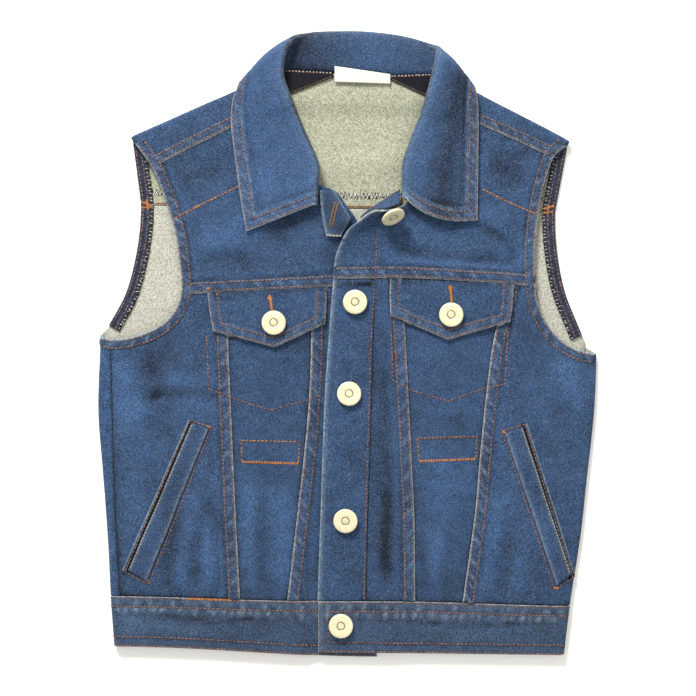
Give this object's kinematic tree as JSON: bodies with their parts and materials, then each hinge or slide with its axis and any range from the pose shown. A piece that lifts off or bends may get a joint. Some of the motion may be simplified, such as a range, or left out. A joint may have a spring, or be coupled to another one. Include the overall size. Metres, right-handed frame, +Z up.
{
  "type": "child's denim vest laid flat",
  "caption": "Child's denim vest laid flat on its back: open collar, chest pocket flaps, slanted side pockets, button front and waistband.",
  "frame": {"origin": "middle of the bounding box, on the surface that the vest lies on", "axes": "+Y from the hem to the collar, +Z up off the surface, +X to the right as seen from above"},
  "size_m": [0.3483, 0.4387, 0.0237],
  "materials": {
    "denim": "worn blue twill, pale on the inside",
    "thread": "rust-coloured topstitching",
    "label": "blank woven cotton tape",
    "button_metal": "pale plated, satin"
  },
  "bodies": {
    "root": {"front_yoke_left": "denim", "front_yoke_right": "denim", "side_front_left": "denim", "middle_front_left": "denim", "inner_front_left": "denim", "placket_right": "denim", "inner_front_right": "denim", "middle_front_right": "denim", "side_front_right": "denim", "back_body": "denim", "back_yoke": "denim", "waistband": "denim", "collar": "denim", "flap_left": "denim", "flap_right": "denim", "welt_left": "denim", "welt_right": "denim", "armhole_facing_left": "denim", "armhole_facing_right": "denim", "neck_facing_left": "denim", "neck_facing_right": "denim", "corner_facing_left": "denim", "corner_facing_right": "denim", "label": "label", "button_neck": "button_metal", "button_front_1": "button_metal", "button_front_2": "button_metal", "button_front_3": "button_metal", "button_waistband": "button_metal", "button_flap_left": "button_metal", "button_flap_right": "button_metal"}
  },
  "joints": []
}
